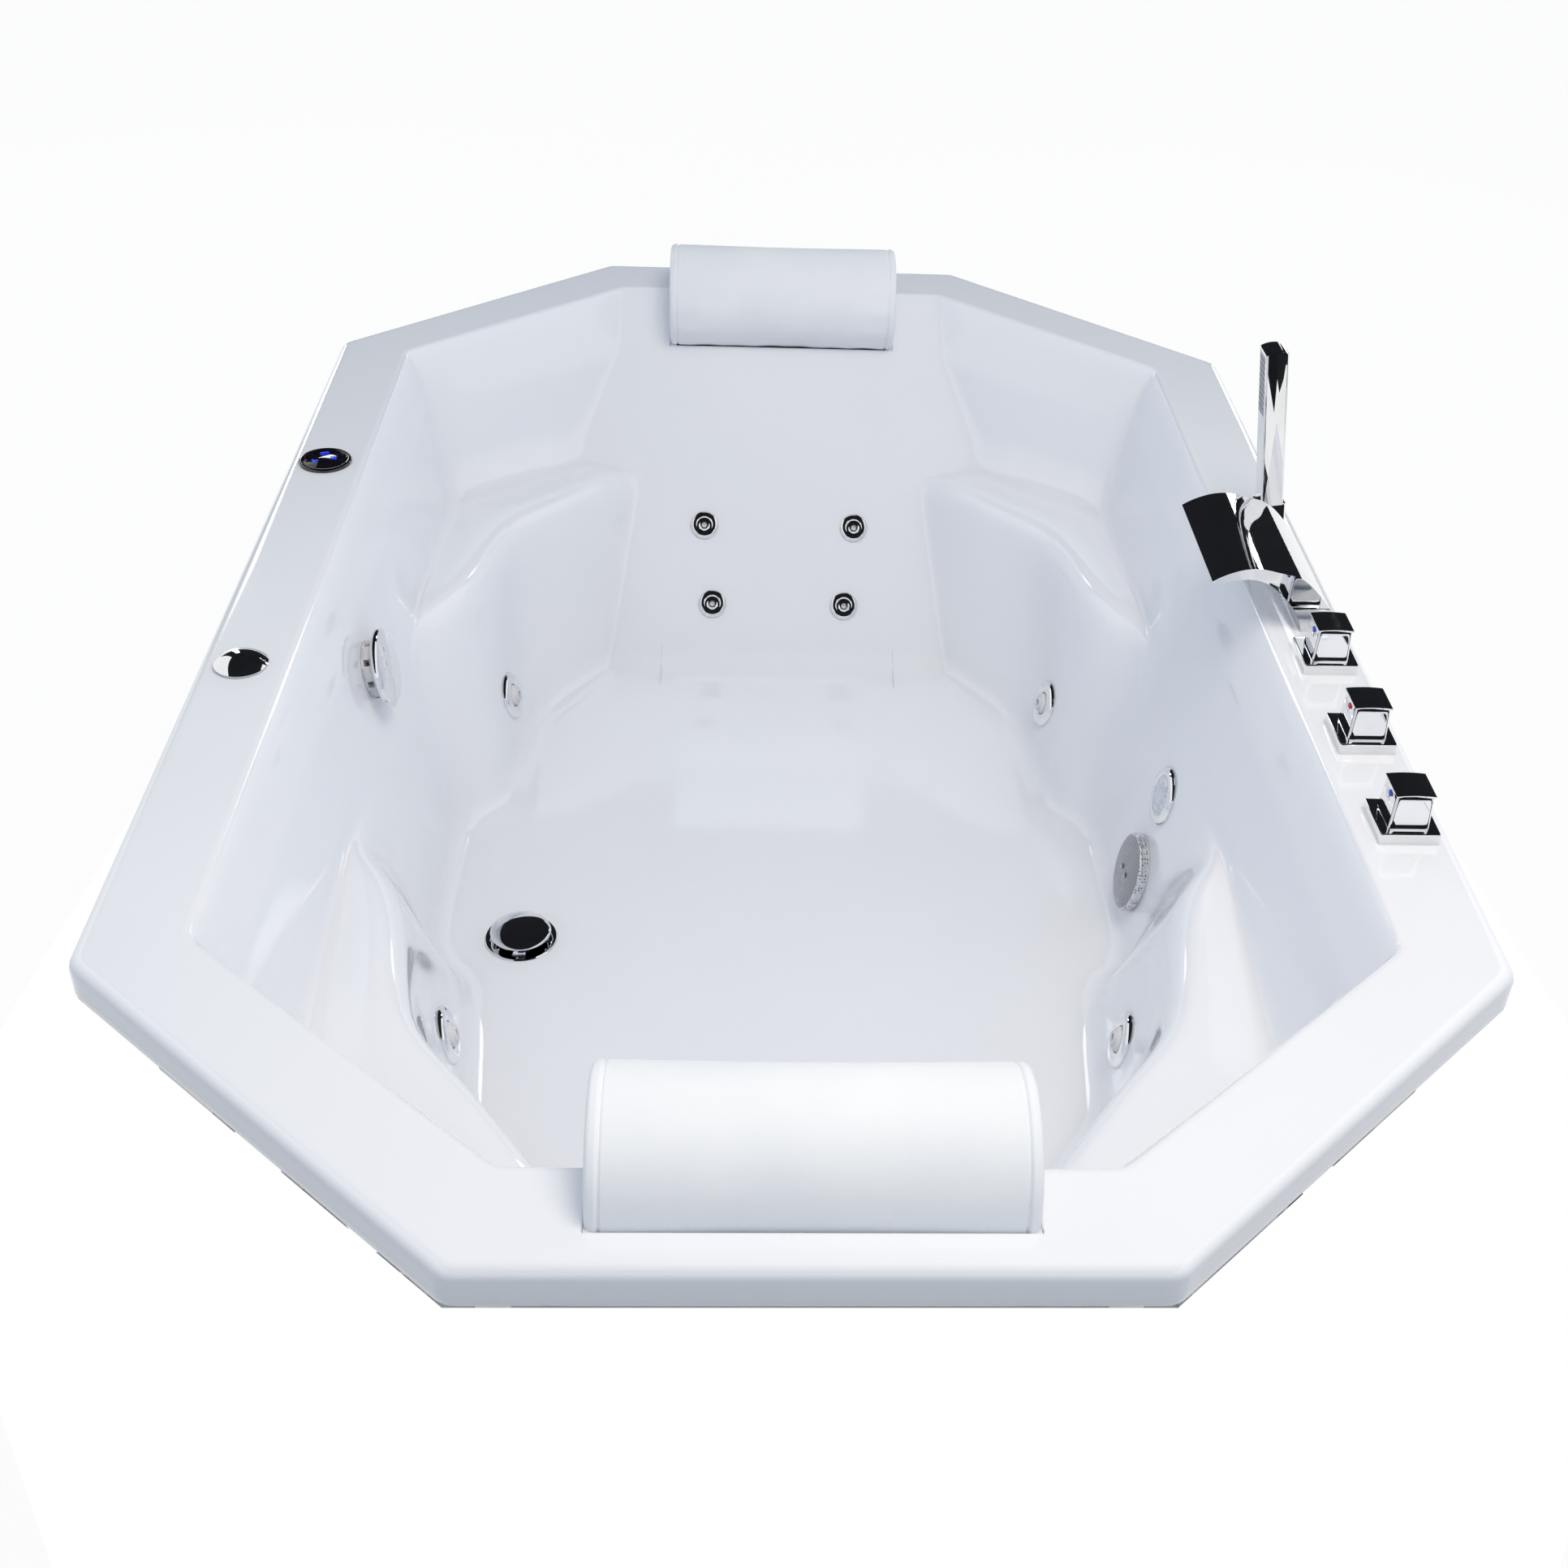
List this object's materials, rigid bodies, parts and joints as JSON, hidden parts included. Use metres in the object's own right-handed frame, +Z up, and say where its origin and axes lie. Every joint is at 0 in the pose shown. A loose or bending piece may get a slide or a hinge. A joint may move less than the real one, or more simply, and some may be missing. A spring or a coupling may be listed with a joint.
{
  "type": "jetted bathtub",
  "caption": "Eight-sided white acrylic jetted bath with a head pillow at each end, deck-mounted waterfall tap set, jets and steel frame.",
  "frame": {"origin": "on the floor under the centre of the tub", "axes": "+Z up, +Y along the tub towards the far backrest, +X across it towards the side with the taps and spout"},
  "size_m": [1.2, 1.9, 0.8264],
  "materials": {
    "white_acrylic": "gloss",
    "board": "raw",
    "frame_steel": "satin",
    "bright_steel": "satin",
    "pillow_skin": "satin",
    "white_plastic": "satin",
    "chrome": "mirror",
    "lens": "gloss",
    "panel_glass": "gloss",
    "grey_rubber": "matte",
    "brass": "satin",
    "pipe_plastic": "satin",
    "hose_plastic": "satin",
    "black_plastic": "satin",
    "motor_paint": "satin",
    "iron": "raw"
  },
  "bodies": {
    "tub": {"tub_shell": "white_acrylic", "base_board": "board", "support_frame": "frame_steel", "equipment_shelves": "frame_steel", "levelling_feet": "bright_steel", "foot_lock_nuts": "bright_steel", "suction_screws": "bright_steel", "pop_up_cable": "bright_steel", "pillows": "pillow_skin", "jet_bodies": "white_plastic", "light_housing": "white_plastic", "suction_body": "white_plastic", "drain_trap": "white_plastic", "fitting_nuts": "white_plastic", "air_control_body": "white_plastic", "overflow_body": "white_plastic", "drain_body": "white_plastic", "panel_case": "white_plastic", "jet_faces": "chrome", "light_bezel": "chrome", "drain_flange": "chrome", "valve_plates": "chrome", "spout": "chrome", "hand_shower_holder": "chrome", "panel_bezel": "chrome", "suction_cover": "chrome", "light_lens": "lens", "panel_glass": "panel_glass", "tap_pipes": "brass", "tap_bodies": "brass", "water_pipes": "pipe_plastic", "air_pipes": "pipe_plastic", "pipe_elbows": "pipe_plastic", "overflow_pipe": "pipe_plastic", "suction_pipe": "pipe_plastic", "water_hoses": "hose_plastic", "air_hoses": "hose_plastic", "pump_volute": "black_plastic", "pump_back_plate": "black_plastic", "fan_cover": "black_plastic", "control_box": "black_plastic", "shaft_bearings": "bright_steel", "motor_case": "motor_paint", "motor_stator": "iron"},
    "overflow_knob": {"overflow_knob": "chrome"},
    "drain_cap": {"drain_cap": "chrome"},
    "air_dial": {"air_control_dial": "chrome"},
    "cold_handle": {"handle_cold": "chrome"},
    "hot_handle": {"handle_hot": "chrome"},
    "diverter_handle": {"handle_diverter": "chrome"},
    "handset": {"hand_shower": "chrome", "spray_face": "grey_rubber"},
    "pump_rotor": {"pump_shaft": "bright_steel", "pump_impeller": "black_plastic", "motor_core": "iron", "motor_fan": "black_plastic"},
    "nozzle_near_left": {"jet_nozzle_near_left": "white_plastic"},
    "nozzle_near_right": {"jet_nozzle_near_right": "white_plastic"},
    "nozzle_far_left": {"jet_nozzle_far_left": "white_plastic"},
    "nozzle_far_right": {"jet_nozzle_far_right": "white_plastic"}
  },
  "joints": [
    {"name": "overflow_knob_turn", "type": "hinge", "parent": "tub", "child": "overflow_knob", "pos_m": [-0.47284, 0.008, 0.472], "axis": [0.9806, 0, 0.1961], "range_deg": [0, 90]},
    {"name": "drain_cap_lift", "type": "slide", "parent": "tub", "child": "drain_cap", "axis": [0, 0, 1], "range_m": [-0.007, 0]},
    {"name": "air_dial_turn", "type": "hinge", "parent": "tub", "child": "air_dial", "pos_m": [-0.556, -0.187, 0.6], "axis": [0, 0, 1], "range_deg": [-90, 90]},
    {"name": "cold_handle_turn", "type": "hinge", "parent": "tub", "child": "cold_handle", "pos_m": [0.556, -0.432, 0.6], "axis": [0, 0, 1], "range_deg": [0, 90]},
    {"name": "hot_handle_turn", "type": "hinge", "parent": "tub", "child": "hot_handle", "pos_m": [0.556, -0.288, 0.6], "axis": [0, 0, 1], "range_deg": [0, 90]},
    {"name": "diverter_handle_turn", "type": "hinge", "parent": "tub", "child": "diverter_handle", "pos_m": [0.556, -0.144, 0.6], "axis": [0, 0, 1], "range_deg": [0, 90]},
    {"name": "handset_lift", "type": "slide", "parent": "tub", "child": "handset", "axis": [-0.1426, 0, 0.9898], "range_m": [0, 0.1]},
    {"name": "nozzle_tilt_near_left", "type": "hinge", "parent": "tub", "child": "nozzle_near_left", "pos_m": [-0.36234, -0.32952, 0.22915], "axis": [-0.1015, 0.9948, 0], "range_deg": [-10, 10]},
    {"name": "nozzle_tilt_near_right", "type": "hinge", "parent": "tub", "child": "nozzle_near_right", "pos_m": [0.36234, -0.32952, 0.22915], "axis": [-0.1015, -0.9948, 0], "range_deg": [-10, 10]},
    {"name": "nozzle_tilt_far_left", "type": "hinge", "parent": "tub", "child": "nozzle_far_left", "pos_m": [-0.36234, 0.32952, 0.22915], "axis": [0.1015, 0.9948, 0], "range_deg": [-10, 10]},
    {"name": "nozzle_tilt_far_right", "type": "hinge", "parent": "tub", "child": "nozzle_far_right", "pos_m": [0.36234, 0.32952, 0.22915], "axis": [0.1015, -0.9948, 0], "range_deg": [-10, 10]},
    {"name": "pump_rotor_spin", "type": "hinge", "parent": "tub", "child": "pump_rotor", "pos_m": [0.462, -0.5, 0.18], "axis": [0, 1, 0], "continuous": true}
  ],
  "couplings": [
    {"joint": "drain_cap_lift", "follows": "overflow_knob_turn", "m_per_rad": -0.0044563}
  ]
}
